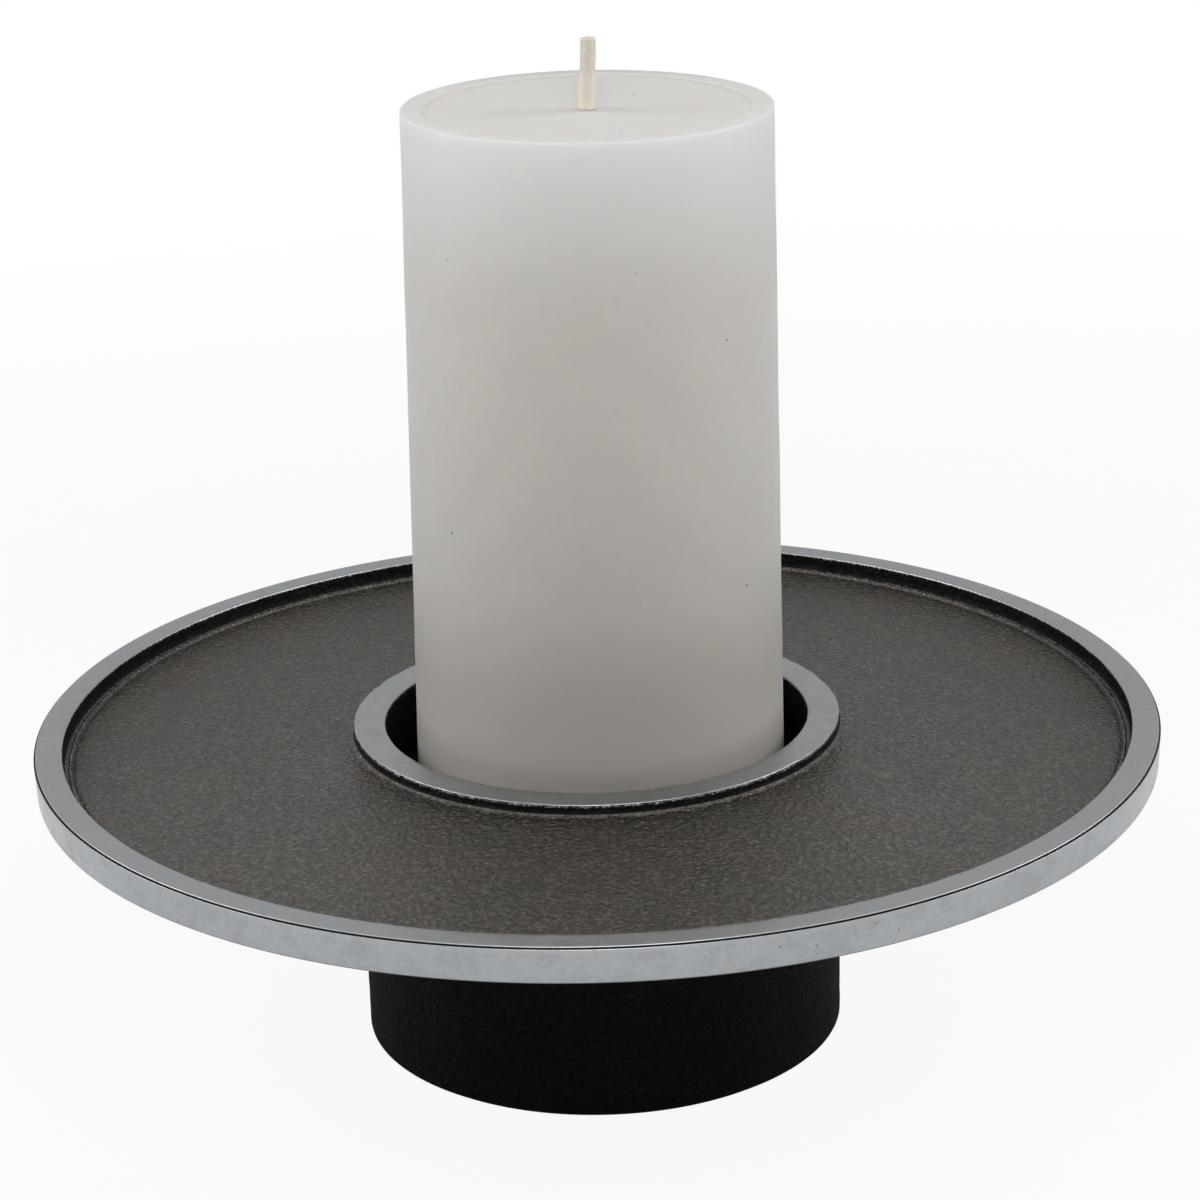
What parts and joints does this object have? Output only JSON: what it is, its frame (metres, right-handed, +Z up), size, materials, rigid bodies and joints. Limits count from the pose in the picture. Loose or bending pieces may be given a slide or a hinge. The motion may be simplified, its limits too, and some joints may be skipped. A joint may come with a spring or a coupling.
{
  "type": "candle plate",
  "caption": "Round cast aluminium candle plate with a bright turned rim, dark textured dish, raised cup ring and hollow foot, carrying a removable white pillar candle.",
  "frame": {"origin": "on the plate's turning axis, at the level of the table under the felt ring", "axes": "+Z up along the turning axis, the way the candle lifts out; -Y is the side that the picture shows"},
  "size_m": [0.25, 0.25, 0.2253],
  "materials": {
    "coated_casting": "black satin coat over the sand-cast skin, with the rim face, rim top and ring top turned bare and bright",
    "felt": "dense black felt",
    "wax": "off-white candle wax, satin, slightly translucent",
    "wick_cotton": "waxed braided cotton, unburnt",
    "tinplate": "plain stamped tinplate"
  },
  "bodies": {
    "plate": {"plate_casting": "coated_casting", "felt_ring": "felt"},
    "candle": {"candle_wax": "wax", "candle_wick": "wick_cotton", "wick_tin": "tinplate"}
  },
  "joints": [
    {"name": "candle_lift", "type": "slide", "parent": "plate", "child": "candle", "axis": [0, 0, 1], "range_m": [0, 0.03]}
  ]
}
